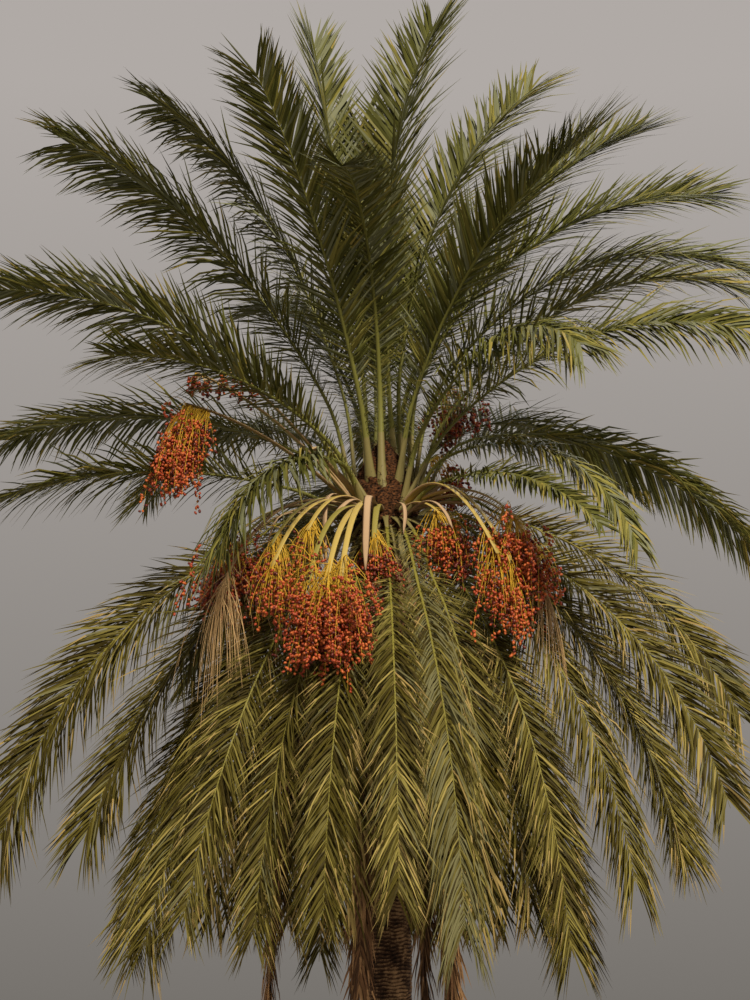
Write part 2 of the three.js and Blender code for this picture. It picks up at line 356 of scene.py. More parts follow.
def twist(line, foot_twist, tip_twist, waver):
    """Turns a frond about its rib by a growing angle in degrees, and adds its upper face."""
    share = np.linspace(0, 1, LINE_POINTS)[:, None]
    angle = np.radians(mix(foot_twist, tip_twist, share) + waver * np.sin(share * TWIST_WAVE))
    side = line["side"]
    up = np.cross(side, line["along"])
    line["side"] = side * np.cos(angle) + up * np.sin(angle)
    line["up"] = np.cross(line["side"], line["along"])


def sides_along(middles, aside):
    """The directions across many midlines: square to the aside direction, and square to that."""
    along = unit(np.gradient(middles, axis=1))
    flat = unit(np.cross(along, aside))
    return flat, np.cross(flat, along)


def swept(middles, sides, ups, section):
    """Points of many like things: a section of (x, y) pairs swept along their midlines.

    middles, sides and ups are (things, stations, 3), and the last two carry its half sizes.
    """
    across = np.array([x for x, y in section])[:, None]
    rising = np.array([y for x, y in section])[:, None]
    points = middles[:, :, None] + sides[:, :, None] * across + ups[:, :, None] * rising
    return points.reshape(len(middles), -1, 3)


def swept_faces(stations, corners):
    """Faces of one swept thing, closed at both ends."""
    faces = []
    for k in range(stations - 1):
        for i in range(corners):
            j = (i + 1) % corners
            low, high = k * corners, (k + 1) * corners
            faces.append((low + i, low + j, high + j, high + i))
    last = (stations - 1) * corners
    faces.append(tuple(reversed(range(corners))))
    faces.append(tuple(last + i for i in range(corners)))
    return faces


def joined(name, points, faces, shades=None):
    """One mesh of many like things from their points and one thing's faces.

    shades has a material number for each face of each thing, or for each thing.
    """
    count, corners = points.shape[:2]
    sizes = np.tile([len(face) for face in faces], count)
    one = np.concatenate(faces)
    loops = (one[None, :] + corners * np.arange(count)[:, None]).ravel()
    mesh = bpy.data.meshes.new(name)
    mesh.vertices.add(count * corners)
    mesh.vertices.foreach_set("co", points.astype(np.float32).ravel())
    mesh.loops.add(len(loops))
    mesh.loops.foreach_set("vertex_index", loops.astype(np.int32))
    mesh.polygons.add(len(sizes))
    mesh.polygons.foreach_set("loop_start", (np.cumsum(sizes) - sizes).astype(np.int32))
    if shades is not None:
        if shades.ndim == 1:
            shades = np.repeat(shades[:, None], len(faces), axis=1)
        mesh.polygons.foreach_set("material_index", shades.astype(np.int32).ravel())
    mesh.update(calc_edges=True)
    mesh.validate()
    return mesh


# How many fronds each tier has, from the youngest to the oldest, and the inner skirt's
# lobes: so many in each half, each as wide as the step in degrees, from the first azimuth
TIERS = {
    "spear_frond": 4,
    "upper_frond": 11,
    "arching_frond": 17,
    "hanging_frond": 20,
    "dead_frond": 4,
}
SKIRT_HALVES = 2
SKIRT_PER_HALF = 6
SKIRT_STEP = 30
SKIRT_FROM = -3
# Each lobe of the inner skirt stands for two fronds: how far they are turned about the
# trunk in degrees, and how much nearer to it they hang
SKIRT_TURNS = {-7: 0.9, 7: 1.0}


def turned(line, degrees, nearness):
    """A copy of a frond's line, turned about the trunk and drawn in toward it."""
    cos, sin = math.cos(math.radians(degrees)), math.sin(math.radians(degrees))
    spin = np.array([[cos, -sin, 0], [sin, cos, 0], [0, 0, 1]])
    copy = {key: line[key] @ spin.T for key in ("along", "side")}
    middle = np.array(HEART_POINT)
    points = (line["points"] - middle) @ spin.T
    copy["points"] = points * (nearness, nearness, 1) + middle
    copy["length"] = line["length"]
    return copy


fronds = []
seed = np.random.default_rng(7)
for tier, count in TIERS.items():
    for number in range(1, count + 1):
        node = f"{tier}_{number:02d}"
        fronds.append({"node": node, "tier": tier, "line": lines_of(node)[0]})
for half in range(SKIRT_HALVES):
    node = f"inner_skirt_{half + 1:02d}"
    for line in lines_of(node, SKIRT_PER_HALF, SKIRT_STEP, SKIRT_FROM + 180 * half):
        for degrees, nearness in SKIRT_TURNS.items():
            copy = turned(line, degrees, nearness)
            fronds.append({"node": node, "tier": "inner_skirt", "line": copy})

# How the leaflets stand on each tier of frond: twist is how far chance turns the rib, vee
# is how far both rows are raised, spread scales their angle to the rib, limp is how much
# their own weight bends them and bow how much chance does; unruly is how far they still
# stand in different planes at the frond's tip, pitch is in metres and last is where on the
# rib the last ones grow. Painted shade, where a frond is given it, favours the dark shades
# for a frond that lies in shade. With a minus it is painted light instead, which favours
# the light ones. Bloom favours the shade that has most wax on it. Early is how much larger
# than usual the lowest leaflets are.
HABITS = {
    "spear_frond": {
        "twist": 10, "vee": 18, "spread": 0.92, "limp": 0.05, "bow": 0.07, "unruly": 0.25,
        "pitch": 0.016, "width": 1.0, "long": 1.12, "last": 0.925,
    },
    "upper_frond": {
        "twist": 12, "vee": 14, "spread": 0.88, "limp": 0.2, "bow": 0.08, "unruly": 0.25,
        "pitch": 0.016, "width": 1.0, "long": 1.14, "last": 0.925,
    },
    "arching_frond": {
        "twist": 16, "vee": 10, "spread": 0.9, "limp": 0.5, "bow": 0.1, "unruly": 0.3,
        "pitch": 0.017, "width": 1.0, "long": 1.08, "last": 0.92,
    },
    "hanging_frond": {
        "twist": 22, "vee": 5, "spread": 0.84, "limp": 0.5, "bow": 0.09, "unruly": 0.5,
        "pitch": 0.0135, "width": 0.56, "long": 0.98, "last": 0.9, "early": 1.5,
    },
    "inner_skirt": {
        "twist": 40, "vee": 8, "spread": 0.8, "limp": 1.1, "bow": 0.14, "unruly": 0.7,
        "pitch": 0.038, "width": 0.95, "long": 1.1, "last": 0.92, "early": 3.0,
    },
    "dead_frond": {
        "twist": 60, "vee": -20, "spread": 0.5, "limp": 2.4, "bow": 0.16, "unruly": 1.0,
        "pitch": 0.0125, "width": 0.9, "long": 0.9, "last": 0.94,
    },
}
# Some fronds have their own ways: a few old ones that arch low have gone limp, so that their
# leaflets hang like a comb, and others raise both rows or let them down. The hanging ones on
# the far side are fullest near the heart.
FAR_HANGING = range(15, 21)
# Painted shade darkens some of these fronds that lie in shade, and with a minus painted light brightens
# some that face the sun.
OWN_HABITS = {
    "spear_frond_01": {"long": 1.28, "painted_light_and_shade": 0.6},
    "spear_frond_02": {"painted_light_and_shade": 0.9, "bloom": 5},
    "upper_frond_01": {"vee": -4, "limp": 0.4, "long": 1.25, "painted_light_and_shade": -0.5},
    "upper_frond_02": {"vee": -10, "limp": 0.4, "painted_light_and_shade": -0.5},
    "upper_frond_05": {"vee": 26, "limp": 0.05, "long": 1.3},
    "upper_frond_06": {"vee": 20, "limp": 0.1, "long": 1.25},
    "upper_frond_07": {"long": 1.2},
    "upper_frond_08": {"limp": 0.4, "long": 1.3, "painted_light_and_shade": -0.8},
    "arching_frond_01": {"painted_light_and_shade": -0.3},
    "arching_frond_02": {"limp": 0.5, "painted_light_and_shade": 0.2},
    "arching_frond_03": {"vee": 16, "limp": 0.3, "long": 1.18},
    "arching_frond_04": {"limp": 0.3, "painted_light_and_shade": 0.1},
    "arching_frond_05": {"limp": 0.3, "long": 1.3, "painted_light_and_shade": -0.8},
    "arching_frond_06": {"limp": 1.3, "long": 1.15},
    "arching_frond_07": {"limp": 0.5, "long": 1.15, "painted_light_and_shade": -0.4},
    "arching_frond_08": {"limp": 2.0, "spread": 0.85, "long": 0.7, "painted_light_and_shade": -0.4},
    "arching_frond_09": {"limp": 0.8, "vee": -4, "long": 0.95},
    "arching_frond_10": {"limp": 0.6, "long": 0.5, "painted_light_and_shade": 0.2},
    "arching_frond_11": {"limp": 1.7, "vee": 14, "unruly": 1.0, "width": 1.2, "painted_light_and_shade": 0.5},
    "hanging_frond_01": {"limp": 0.35, "vee": 10, "long": 1.05, "width": 0.7},
    "hanging_frond_02": {"limp": 0.35, "vee": 10, "long": 1.05, "width": 0.7},
    "hanging_frond_03": {"limp": 0.4, "vee": 10, "long": 1.05, "width": 0.7},
    "hanging_frond_04": {"limp": 1.5, "long": 1.2},
    "hanging_frond_07": {"limp": 1.9, "long": 1.3, "bloom": 14},
    "hanging_frond_12": {"limp": 0.9, "long": 1.2, "painted_light_and_shade": 0.3},
    "hanging_frond_13": {"limp": 0.3, "spread": 0.8, "long": 1.25, "width": 0.8, "painted_light_and_shade": 0.6},
    "hanging_frond_14": {"limp": 0.3, "spread": 0.8, "long": 1.3, "width": 0.8, "painted_light_and_shade": 0.6},
    **{f"hanging_frond_{number}": {"early": 2.6} for number in FAR_HANGING},
    "hanging_frond_16": {"early": 2.6, "long": 1.3},
}


def habit_of(frond):
    """The habit of a frond's tier, changed by its own."""
    return {**HABITS[frond["tier"]], **OWN_HABITS.get(frond["node"], {})}


# A frond that grows to the side has turned on its rib, so that it shows its upper face
# (or with a minus its lower one) to the front; these turns are at the tip, in degrees. The
# hanging ones have turned more, and those behind the trunk show that face to the back.
USUAL_TURN = 52
HANGING_TURN = 80
TURNS = {
    "upper_frond_01": -48,
    "upper_frond_02": -60,
    "arching_frond_01": -40,
    "arching_frond_02": -45,
    "arching_frond_03": -50,
    "arching_frond_04": -45,
    "arching_frond_09": -45,
    "arching_frond_11": -40,
}
# The shares of the turn that a frond already has at its foot, and of the twist that chance
# gives it at its foot and to and fro
USUAL_FOOT_TURN = 0.3
HANGING_FOOT_TURN = 0.6
FOOT_TWIST = 0.3
WAVE_SHARE = 0.6
# A frond whose tip is further back than this hangs behind the trunk
BEHIND = 0.5

for frond in fronds:
    habit = HABITS[frond["tier"]]
    line = frond["line"]
    hangs = frond["tier"] in ("hanging_frond", "inner_skirt")
    outward = line["along"][LINE_POINTS // 3]
    turn = HANGING_TURN if hangs else TURNS.get(frond["node"], USUAL_TURN)
    turn *= -outward[0] / math.hypot(*outward)
    if hangs and line["points"][-1][1] > BEHIND:
        turn = -turn
    foot_twist, tip_twist = seed.normal(0, 1, 2) * (habit["twist"] * FOOT_TWIST, habit["twist"])
    foot_turn = turn * (HANGING_FOOT_TURN if hangs else USUAL_FOOT_TURN)
    waver = seed.normal(0, habit["twist"] * WAVE_SHARE)
    twist(line, foot_twist + foot_turn, tip_twist + turn, waver)

# How many stations a rib has, and how many of them are its paler foot
RIB_STATIONS = 26
RIB_FOOT_STATIONS = 4
# The rib ends here on the frond's line, and its stations crowd toward the foot
RIB_REACH = 0.92
RIB_CROWDING = 1.25
# The older fronds' ribs have shrunk to these shares of the usual thickness
RIB_SLIMMING = {"hanging_frond": 0.58, "inner_skirt": 0.6, "dead_frond": 0.8}
# A living frond, unless it is one of the inner skirt, springs from just under the surface
# of the heart, at the height given for its tier, and has swung onto the line of its blade
# at this share of its length. The hanging ones rise a little on the way.
SPRING_SHARE = 0.2
SPRING_HEIGHTS = {
    "spear_frond": 7.14,
    "upper_frond": 7.04,
    "arching_frond": 6.92,
    "hanging_frond": 6.93,
}
SPRING_RISES = {"hanging_frond": 0.13}
# How far under the surface of the heart they spring
SPRING_DEPTH = 0.08
# The ones in front spring from places of their own: azimuth in degrees and height
SPRING_PLACES = {
    "spear_frond_04": (268, 7.07),
    "upper_frond_03": (240, 7.2),
    "upper_frond_05": (306, 7.18),
    "arching_frond_04": (250, 6.95),
    "arching_frond_07": (301, 6.95),
}
heart_levels = levels_of("crown_heart")


def at_azimuth(azimuth, reach, height):
    """The point at an azimuth in degrees, a reach from the heart's middle and a height."""
    heading = math.radians(azimuth)
    return (HEART_POINT.x + reach * math.cos(heading), reach * math.sin(heading), height)


# A skin's grain changes its roughness by this much, and is this deep for its size. Grains
# are drawn coarser than real ones, so that they show.
ROUGHNESS_SPREAD = 0.12
GRAIN_DEPTH = 0.2


def skin_material(name, colour, roughness, grain, gloss=0.3):
    """A leathery plant skin of one colour with a fine grain; grain is its size in metres."""
    material, tree = new_material(name)
    place = add_node(tree, "ShaderNodeTexCoord").outputs["Object"]
    specks = add_node(tree, "ShaderNodeTexNoise", {"Vector": place, "Scale": 1 / grain, "Detail": 4})
    rough = add_node(
        tree,
        "ShaderNodeMapRange",
        {
            "Value": specks.outputs["Fac"],
            "To Min": roughness - ROUGHNESS_SPREAD,
            "To Max": roughness + ROUGHNESS_SPREAD,
        },
    )
    finish_material(
        tree,
        colour=linear(colour),
        roughness=rough.outputs["Result"],
        gloss=gloss,
        relief=specks.outputs["Fac"],
        depth=grain * GRAIN_DEPTH,
        strength=0.5,
    )
    return material


# The ribs are smooth and leathery: green along the young fronds, more yellow along those
# that hang in the light, dried to tan on the dead ones, and paler where they leave the heart.
RIB_SHADES = {
    "smooth_green_rib": "#696732",
    "smooth_olive_rib": "#726b2c",
    "dry_tan_rib": "#8a6849",
    "pale_rib_foot": "#726840",
}
rib_materials = [skin_material(n, c, 0.5, 0.012, 0.15) for n, c in RIB_SHADES.items()]
# Which of them a tier's ribs have; the others have the first, and every foot the last
RIB_SHADE_OF = {"hanging_frond": 1, "inner_skirt": 1, "dead_frond": 2}


def points_on(line, shares):
    """Points of an evenly spaced line at the given shares of its length."""
    where = np.linspace(0, 1, len(line))
    return np.stack([np.interp(shares, where, line[:, i]) for i in range(3)], axis=-1)


def sprung(frond, shares):
    """Points of a rib whose foot is drawn out to just under the surface of the heart."""
    points = points_on(frond["line"]["points"], shares)
    if frond["tier"] not in SPRING_HEIGHTS:
        return points
    joint = points_on(frond["line"]["points"], np.array([SPRING_SHARE]))[0]
    azimuth = math.degrees(math.atan2(joint[1], joint[0] - HEART_POINT.x))
    height = SPRING_HEIGHTS[frond["tier"]]
    azimuth, height = SPRING_PLACES.get(frond["node"], (azimuth, height))
    radius = np.interp(height, heart_levels[:, 0], heart_levels[:, 2]) - SPRING_DEPTH
    foot = np.array(at_azimuth(azimuth, radius, height))
    t = np.clip(shares / SPRING_SHARE, 0, 1)[:, None]
    points = mix(mix(foot, joint, t), points, t * t * (3 - 2 * t))
    points[:, 2:] += SPRING_RISES.get(frond["tier"], 0) * 4 * t * (1 - t)
    return points


def make_ribs(name, chosen):
    """Joins the ribs of the chosen fronds into one piece."""
    shares = RIB_REACH * np.linspace(0, 1, RIB_STATIONS) ** RIB_CROWDING
    slim = np.array([RIB_SLIMMING.get(f["tier"], 1) for f in chosen])[:, None, None]
    half_widths = np.interp(shares / RIB_REACH, RIB_SHARES, RIB_HALF_WIDTHS)[:, None] * slim
    half_depths = np.interp(shares / RIB_REACH, RIB_SHARES, RIB_HALF_DEPTHS)[:, None] * slim
    middles = np.array([sprung(f, shares) for f in chosen])
    sides = unit(np.array([points_on(f["line"]["side"], shares) for f in chosen]))
    ups = unit(np.array([points_on(f["line"]["up"], shares) for f in chosen]))
    points = swept(middles, sides * half_widths, ups * half_depths, RIB_SECTION[::-1])
    faces = swept_faces(RIB_STATIONS, len(RIB_SECTION))
    shades = np.array([RIB_SHADE_OF.get(f["tier"], 0) for f in chosen])
    shades = np.repeat(shades[:, None], len(faces), axis=1)
    shades[:, : RIB_FOOT_STATIONS * len(RIB_SECTION)] = len(rib_materials) - 1
    mesh = joined(name, points, faces, shades)
    put_in_place(mesh, name, rib_materials, sorted({f["node"] for f in chosen}), smooth=True)


make_ribs("green_ribs", [f for f in fronds if f["tier"] != "dead_frond"])
make_ribs("dry_ribs", [f for f in fronds if f["tier"] == "dead_frond"])


# Leaflets: long stiff blades folded along the middle like a gutter, in clusters of three
# that stand at different angles. The lowest ones are short spines on the leaf stalk.
LEAFLET_FIRST = 0.09
# Shares of a leaflet's length, how wide it is there, and its section
LEAFLET_STATIONS = [0, 0.15, 0.62, 1]
LEAFLET_OUTLINE = [0.4, 1, 0.85, 0.04]
LEAFLET_SECTION = [(-1, 0.3), (0, 0), (1, 0.3)]
# How leaflets change along the frond: their angle to the rib, length and half width
FROND_SHARES = [0.09, 0.19, 0.26, 0.36, 0.5, 0.7, 0.88, 1]
LEAFLET_ANGLES = [72, 64, 58, 53, 47, 41, 36, 27]
LEAFLET_LENGTHS = [0.07, 0.13, 0.33, 0.50, 0.57, 0.56, 0.49, 0.36]
LEAFLET_HALF_WIDTHS = [0.0035, 0.005, 0.0095, 0.012, 0.0125, 0.0125, 0.0115, 0.01]
# Where on the frond the lowest leaflets begin and end
EARLY_SHARES = [0.09, 0.3]
# The leaflets of a cluster: how many, how far each rises from the frond's plane in degrees,
# how far apart they spring and how far the cluster wanders, as shares of the clusters' pitch
CLUSTER = 3
CLUSTER_RISES = [-34, 0, 34]
CLUSTER_GAP = 0.28
CLUSTER_WANDER = 0.25
# The rises grow or shrink by these along the frond, and at its tip by how unruly it is
RISE_SHARES = [0.1, 0.4, 1]
RISE_SCALES = [1.2, 0.9]
# How far chance takes a leaflet from its cluster's ways: degrees of its angle, more where
# it is unruly, and no more than so many times that; degrees of its rise; its length, within
# limits; the way its face turns; and how limp it is
ANGLE_STRAY = 2.5
UNRULY_STRAY = 4
STRAY_LIMIT = 1.7
RISE_STRAY = 8
LENGTH_STRAY = 0.08
LENGTH_LIMITS = (0.8, 1.15)
FACE_STRAY = 0.22
LIMP_STRAY = 0.35
# A leaflet's face leans toward the frond's tip by this much
FACE_LEAN = 0.35
# Limpness is given for a leaflet of this length, and sag grows along it by this power
LIMP_LENGTH = 0.5
SAG_POWER = 1.4
# How much some fronds favour dark or light shades, how often a leaflet has another shade
# than its cluster, and which shade has the most wax on it
SHADE_STRAY = 0.35
ODD_LEAFLETS = 0.3
BLOOMED_SHADE = 3
DOWN = np.array([0, 0, -1.0])
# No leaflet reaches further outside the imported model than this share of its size, or lower
# than this height; one that would is shrunk, to no less than the last share
OVERHANG = 0.022
LOWEST_LEAFLET = 0.1
SHORTEST_LEAFLET = 0.2
box_low, box_high = np.array(cad_box[0]), np.array(cad_box[1])
room_low = box_low - OVERHANG * (box_high - box_low)
room_high = box_high + OVERHANG * (box_high - box_low)
room_low[2] = LOWEST_LEAFLET


def kept_in_room(points, foot):
    """Shrinks each leaflet toward its foot until it stays in the room there is."""
    reach = points - foot[:, None]
    high = (room_high - foot)[:, None] / np.maximum(reach, 1e-6)
    low = (room_low - foot)[:, None] / np.minimum(reach, -1e-6)
    share = np.clip(np.minimum(high, low).min(axis=(1, 2)), SHORTEST_LEAFLET, 1)
    return foot[:, None] + reach * share[:, None, None]


def leaflet_feet(frond, habit):
    """Where the leaflets of a row spring, as shares of the line, and their cluster and rank."""
    row_length = frond["line"]["length"] * (habit["last"] - LEAFLET_FIRST)
    clusters = int(row_length / habit["pitch"] / CLUSTER)
    cluster = np.repeat(np.arange(clusters), CLUSTER)
    rank = np.tile(np.arange(CLUSTER), clusters)
    wander = seed.uniform(-CLUSTER_WANDER, CLUSTER_WANDER, clusters)[cluster]
    share = (cluster + 0.5 + (rank - 1) * CLUSTER_GAP + wander) / clusters
    share = mix(LEAFLET_FIRST, habit["last"], share)
    rank = seed.permuted(rank.reshape(-1, CLUSTER), axis=1).ravel()
    return share, cluster, rank


def leaflet_row(frond, habit, hand, share, rank):
    """Points of the leaflets along one side of a frond; hand is which side, -1 or 1."""
    line = frond["line"]
    count = len(share)
    t = np.array(LEAFLET_STATIONS)
    foot = sprung(frond, share)
    along = unit(points_on(line["along"], share))
    side = unit(points_on(line["side"], share))
    up = unit(points_on(line["up"], share))
    angle = np.interp(share, FROND_SHARES, LEAFLET_ANGLES) * habit["spread"]
    stray = np.clip(seed.normal(0, 1, count), -STRAY_LIMIT, STRAY_LIMIT)
    angle += stray * (ANGLE_STRAY + UNRULY_STRAY * habit["unruly"])
    angle = np.radians(angle)[:, None]
    rises = np.array(CLUSTER_RISES)[rank] + seed.normal(0, RISE_STRAY, count)
    rises = rises * np.interp(share, RISE_SHARES, [*RISE_SCALES, habit["unruly"]])
    rises = np.radians(rises + habit["vee"])[:, None]
    out = side * hand * np.cos(rises) + up * np.sin(rises)
    start = along * np.cos(angle) + out * np.sin(angle)
    length = np.interp(share, FROND_SHARES, LEAFLET_LENGTHS) * habit["long"]
    length = length * np.clip(seed.normal(1, LENGTH_STRAY, count), *LENGTH_LIMITS)
    half_width = np.interp(share, FROND_SHARES, LEAFLET_HALF_WIDTHS) * habit["width"]
    fuller = np.interp(share, EARLY_SHARES, [habit.get("early", 1), 1])
    length, half_width = length * fuller, half_width * fuller
    face = up + along * FACE_LEAN + seed.normal(0, FACE_STRAY, (count, 3))

    # each station's heading sags a little more, and the midline adds them up
    limp = habit["limp"] * np.abs(seed.normal(1, LIMP_STRAY, count)) * length / LIMP_LENGTH
    sag = limp[:, None, None] * (t**SAG_POWER)[None, :, None] * DOWN
    bow = seed.normal(0, habit["bow"], (count, 1, 3)) * t[None, :, None]
    heading = unit(start[:, None] + sag + bow)
    steps = np.diff(t)[None, :, None] * length[:, None, None]
    middles = np.cumsum((heading[:, 1:] + heading[:, :-1]) / 2 * steps, axis=1)
    middles = np.concatenate([np.zeros((count, 1, 3)), middles], axis=1)
    middles = middles + foot[:, None]
    across = unit(np.cross(heading, face[:, None]))
    rising = np.cross(across, heading)
    half = half_width[:, None, None] * np.array(LEAFLET_OUTLINE)[None, :, None]
    points = swept(middles, across * half, rising * half, LEAFLET_SECTION)
    return kept_in_room(points, foot)


def dealt_shades(cluster, favour, face_count, dry_tips):
    """The material number of each face of a row of leaflets, dealt to whole clusters."""
    count = len(cluster)
    dealt = seed.choice(len(favour), count // CLUSTER, p=favour)[cluster]
    own = seed.random(count) < ODD_LEAFLETS
    dealt[own] = seed.choice(len(favour), own.sum(), p=favour)
    shades = np.repeat(dealt[:, None], face_count, axis=1)
    dry = seed.random(count) < dry_tips
    # the faces of a leaflet's last stretch, and the one that closes its tip
    corners = len(LEAFLET_SECTION)
    last = len(LEAFLET_STATIONS) - 2
    for k in [*range(last * corners, (last + 1) * corners), -1]:
        shades[dry, k] = len(favour) - 1
    return shades


def make_leaflets(name, chosen, materials, weights, dry_tips):
    """Joins the leaflets of the chosen fronds into one piece.

    weights say how often each material is dealt to a cluster, and dry_tips is the share of
    leaflets whose last stretch has dried to the last material.
    """
    faces = swept_faces(len(LEAFLET_STATIONS), len(LEAFLET_SECTION))
    points = []
    shades = []
    for frond in chosen:
        habit = habit_of(frond)
        # some fronds have more of the first shades, the dark ones, and some of the others: partly by
        # chance, and partly as the painted shade, or with a minus painted light, that a frond is given
        bias = seed.normal(0, SHADE_STRAY) - habit.get("painted_light_and_shade", 0)
        favour = np.exp(bias * np.linspace(-1, 1, len(weights)))
        if "bloom" in habit:
            favour[BLOOMED_SHADE] *= habit["bloom"]
        favour = favour * weights / (favour * weights).sum()
        for hand in (-1, 1):
            share, cluster, rank = leaflet_feet(frond, habit)
            points.append(leaflet_row(frond, habit, hand, share, rank))
            shades.append(dealt_shades(cluster, favour, len(faces), dry_tips))
    mesh = joined(name, np.concatenate(points), faces, np.concatenate(shades))
    put_in_place(mesh, name, materials, sorted({f["node"] for f in chosen}))


# The blades are tough and waxy: dark green above and bloomed with grey below on the young
# fronds, olive to straw yellow on the old ones that hang, and dry at the tips. The sunlit
# shade of the young ones is painted sunlight, and the straw green of the old ones is partly
# yellowing and partly painted sunlight. Each cluster of leaflets is dealt one of these.
YOUNG_SHADES = {
    "waxy_dark_green_leaflet": "#42421a",
    "waxy_mid_green_leaflet": "#535325",
    "waxy_olive_leaflet": "#645f2d",
    "bloomed_grey_green_leaflet": "#68694d",
    "sunlit_yellow_green_leaflet": "#797236",
    "yellowing_leaflet": "#85763a",
}
OLD_SHADES = {
    "waxy_deep_olive_leaflet": "#352d0f",
    "waxy_old_green_leaflet": "#473f14",
    "waxy_old_olive_leaflet": "#595124",
    "bloomed_old_leaflet": "#625e3e",
    # partly the yellowing of old leaflets and partly painted sunlight
    "sunlit_straw_green_leaflet": "#746a34",
    "straw_yellow_leaflet": "#8a7b43",
    "dry_tan_leaflet": "#8d7848",
}
young_materials = [skin_material(n, c, 0.55, 0.004, 0.13) for n, c in YOUNG_SHADES.items()]
old_materials = [skin_material(n, c, 0.6, 0.004, 0.08) for n, c in OLD_SHADES.items()]


def of_tiers(*tiers):
    """The fronds of one tier or more."""
    return [f for f in fronds if f["tier"] in tiers]


# How often each shade is dealt
YOUNG_WEIGHTS = np.array([0.25, 0.29, 0.2, 0.22, 0.04, 0])
GROWN_WEIGHTS = np.array([0.22, 0.27, 0.22, 0.19, 0.08, 0.02])
HANGING_WEIGHTS = np.array([0.24, 0.27, 0.23, 0.06, 0.13, 0.05, 0.02])
SHADED_WEIGHTS = np.array([0.36, 0.22, 0.12, 0.02, 0.04, 0.04, 0.2])
young = of_tiers("spear_frond", "upper_frond")
make_leaflets("upper_leaflets", young, young_materials, YOUNG_WEIGHTS, dry_tips=0.06)
grown = of_tiers("arching_frond")
make_leaflets("arching_leaflets", grown, young_materials, GROWN_WEIGHTS, dry_tips=0.12)
hanging = {"near_left": [], "near_right": [], "far": []}
for frond in of_tiers("hanging_frond"):
    tip_x, tip_y = frond["line"]["points"][-1][:2]
    near = "near_left" if tip_x < 0 else "near_right"
    hanging["far" if tip_y >= 0 else near].append(frond)
for place, chosen in hanging.items():
    name = f"hanging_leaflets_{place}"
    make_leaflets(name, chosen, old_materials, HANGING_WEIGHTS, dry_tips=0.16)
skirt = of_tiers("inner_skirt")
make_leaflets("inner_skirt_leaflets", skirt, old_materials, SHADED_WEIGHTS, dry_tips=0.4)


# Leaflets of the dead fronds: they have dried to shades of brown, curled, and folded down
# against the rib, which has twisted, so that a dead frond hangs like a ragged tail.
DRY_SHADES = {
    "dry_dark_leaflet": "#432e1f",
    "dry_brown_leaflet": "#6c4d34",
    "dry_pale_leaflet": "#8f6d4b",
}
dry_materials = [skin_material(n, c, 0.85, 0.004, 0.15) for n, c in DRY_SHADES.items()]
DRY_WEIGHTS = np.array([0.28, 0.42, 0.3])
dead = of_tiers("dead_frond")
make_leaflets("dead_leaflets", dead, dry_materials, DRY_WEIGHTS, dry_tips=0.3)


# Crown heart: the bud and the feet of the leaf stalks, wrapped in the brown fibre that
# their sheaths have worn to. The fibre is woven like sacking and frays at its edges.
HEART_SIDES = 64
HEART_ROWS = 90
# The wraps of fibre and its mat: how deep each is, and the scales of its noise round the
# heart and up it. The wraps also slant, by so much more of the noise on one side.
WRAP_RELIEF = 0.03
WRAP_SCALES = (2.4, 11)
WRAP_SLANT = 1.5
MAT_RELIEF = 0.01
MAT_SCALES = (22, 26)
# Size of the threads, drawn coarser than real ones so that they show, and how much finer
# they are upward
FIBRE_THREAD = 0.026
THREAD_STRETCH = 1.7
# Colours between the threads, nearly black as painted shade, and on them
FIBRE_TINTS = [(0.4, "#130b06"), (0.66, "#5e3a20")]

heart = bmesh.new()
bmesh.ops.create_grid(heart, x_segments=HEART_SIDES, y_segments=HEART_ROWS, size=0.5)
heart_low, heart_high = heart_levels[0, 0], heart_levels[-1, 0]
for v in heart.verts:
    turn = (v.co.x + 0.5) * 2 * math.pi
    height = mix(heart_low, heart_high, v.co.y + 0.5)
    middle = np.interp(height, heart_levels[:, 0], heart_levels[:, 1])
    radius = np.interp(height, heart_levels[:, 0], heart_levels[:, 2])
    round_x, round_y = math.cos(turn), math.sin(turn)
    # the sheaths of shed fronds wrap round one over the other, and threads stand out of them
    around, upward = WRAP_SCALES
    slanted = height * upward + round_x * WRAP_SLANT
    wrap = abs(noise.noise((round_x * around, round_y * around, slanted)))
    mat = noise_round(turn, height, MAT_SCALES)
    radius = max(radius - WRAP_RELIEF * (1 - 2 * wrap) + MAT_RELIEF * mat, 0)
    v.co = (middle + radius * round_x, radius * round_y, height)
close_roll(heart)

# Palm fibre is coarse, dry and quite matt: painted shade makes it dark between the threads, and it is
# red-brown on them.
fibre_material, tree = new_material("matted_palm_fibre")
place = add_node(tree, "ShaderNodeTexCoord").outputs["Object"]
stretch = add_node(tree, "ShaderNodeMapping", {"Vector": place, "Scale": (1, 1, THREAD_STRETCH)})
threads = add_node(
    tree,
    "ShaderNodeTexNoise",
    {"Vector": stretch.outputs[0], "Scale": 1 / FIBRE_THREAD, "Detail": 9},
)
tint = add_node(tree, "ShaderNodeValToRGB", {"Fac": threads.outputs["Fac"]})
for stop, (share, colour) in zip(tint.color_ramp.elements, FIBRE_TINTS):
    stop.position = share
    stop.color = linear(colour)
finish_material(
    tree,
    colour=tint.outputs["Color"],
    roughness=0.95,
    gloss=0.15,
    relief=threads.outputs["Fac"],
    depth=0.01,
    strength=0.9,
)
put_in_place(heart, "heart_fibre_mass", [fibre_material], ["crown_heart"], smooth=True)


# Loose ends of the fibre: each is a coarse thread that has sprung out of the mat, curls
# down at its end and is rooted a little under the surface of the heart.
WISPS = 750
WISP_LENGTH = 0.15
WISP_LENGTH_LIMITS = (0.5, 1.3)
WISP_RADIUS = 0.003
WISP_STATIONS = 4
WISP_DEPTH = 0.02
WISP_DROOP = 0.5
# How far from the heart's lower and upper end they grow
WISP_MARGINS = (0.1, 0.03)
